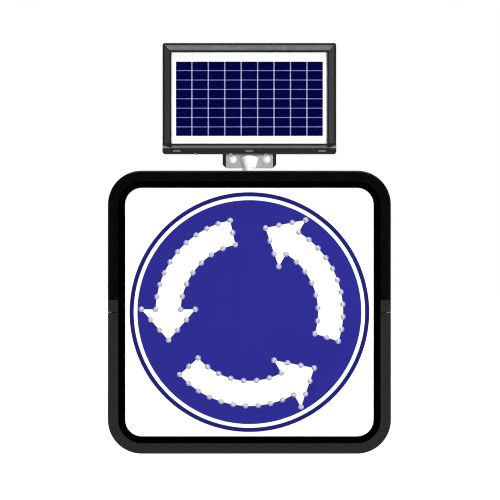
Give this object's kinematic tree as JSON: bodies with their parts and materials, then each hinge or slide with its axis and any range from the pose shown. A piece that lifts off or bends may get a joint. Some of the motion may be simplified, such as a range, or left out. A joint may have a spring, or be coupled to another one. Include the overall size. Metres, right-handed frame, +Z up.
{
  "type": "solar roundabout road sign",
  "caption": "Square solar-powered roundabout sign: black rounded casing, white face with blue disc and lamp-edged arrows, aimable solar panel on a clamped neck, rear pole clamps.",
  "frame": {"origin": "on the axis of the pole held by the rear clamps, level with the middle of the square face", "axes": "+Z up along the pole, the face looks along -Y, +X is the viewer's right when facing the face"},
  "size_m": [0.6, 0.158, 0.871],
  "materials": {
    "frame_black": "satin",
    "frame_charcoal": "satin",
    "seal_rubber": "matte",
    "face_white": "satin",
    "film_blue": "gloss",
    "lamp_lens": "gloss",
    "circuit_green": "satin",
    "nylon_ivory": "matte",
    "steel_zinc": "satin",
    "steel_galvanised": "satin",
    "clamp_plate_grey": "satin",
    "clamp_black": "satin",
    "neck_aluminium": "satin",
    "bolt_bright": "satin",
    "sheet_grey": "satin",
    "rivet_aluminium": "satin",
    "plastic_black": "matte",
    "plastic_dark": "matte",
    "battery_blue": "gloss",
    "webbing_black": "matte",
    "panel_frame": "satin",
    "panel_plug": "matte",
    "panel_glass": "gloss",
    "cell_blue": "gloss",
    "backsheet_white": "satin"
  },
  "bodies": {
    "casing": {"frame_upper": "frame_black", "frame_lower": "frame_charcoal", "joint_block_left": "frame_charcoal", "joint_block_right": "frame_charcoal", "joint_screws": "clamp_black", "face_seal": "seal_rubber", "face_plate": "face_white", "blue_disc_film": "film_blue", "blue_ring_film": "film_blue", "led_lenses": "lamp_lens", "led_board_left": "circuit_green", "led_board_bottom": "circuit_green", "led_board_right": "circuit_green", "board_spacers": "nylon_ivory", "board_screws": "steel_zinc", "back_panel": "sheet_grey", "service_cover": "sheet_grey", "cover_seal": "seal_rubber", "cover_screws": "steel_zinc", "battery_pack": "battery_blue", "battery_cradle": "steel_zinc", "battery_strap": "webbing_black", "controller_case": "plastic_dark", "controller_lid": "plastic_dark", "vent_plug": "plastic_black", "rail_upper": "steel_galvanised", "rail_lower": "steel_galvanised", "rail_rivets": "rivet_aluminium", "rail_end_caps": "plastic_black", "pole_saddle_upper": "steel_galvanised", "pole_saddle_lower": "steel_galvanised", "pole_strap_upper": "steel_galvanised", "pole_strap_lower": "steel_galvanised", "pole_clamp_bolts": "steel_zinc", "pole_clamp_washers": "steel_zinc", "pole_clamp_nuts": "steel_zinc", "neck": "neck_aluminium", "neck_locknut": "steel_zinc"},
    "swivel_head": {"clamp_front": "clamp_plate_grey", "clamp_rear": "clamp_black", "clamp_bolts": "bolt_bright", "clamp_washers": "steel_zinc", "clamp_nuts": "steel_zinc", "tilt_bolt": "steel_zinc", "tilt_nut": "steel_zinc"},
    "panel": {"panel_rail_top": "panel_frame", "panel_rail_bottom": "panel_frame", "panel_rail_left": "panel_frame", "panel_rail_right": "panel_frame", "panel_glass": "panel_glass", "solar_cells": "cell_blue", "panel_backsheet": "backsheet_white", "panel_plugs": "panel_plug", "panel_edge_screws": "steel_zinc", "junction_box": "plastic_black", "junction_lid": "plastic_black", "junction_gland": "plastic_black", "panel_crossbar": "rivet_aluminium", "crossbar_bolts": "steel_zinc", "tilt_bracket": "steel_galvanised"}
  },
  "joints": [
    {"name": "panel_swivel", "type": "hinge", "parent": "casing", "child": "swivel_head", "pos_m": [0, -0.089, 0.315], "axis": [0, 0, 1], "range_deg": [-180, 180]},
    {"name": "panel_tilt", "type": "hinge", "parent": "swivel_head", "child": "panel", "pos_m": [0, -0.07, 0.366], "axis": [-1, 0, 0], "range_deg": [0, 60]}
  ]
}
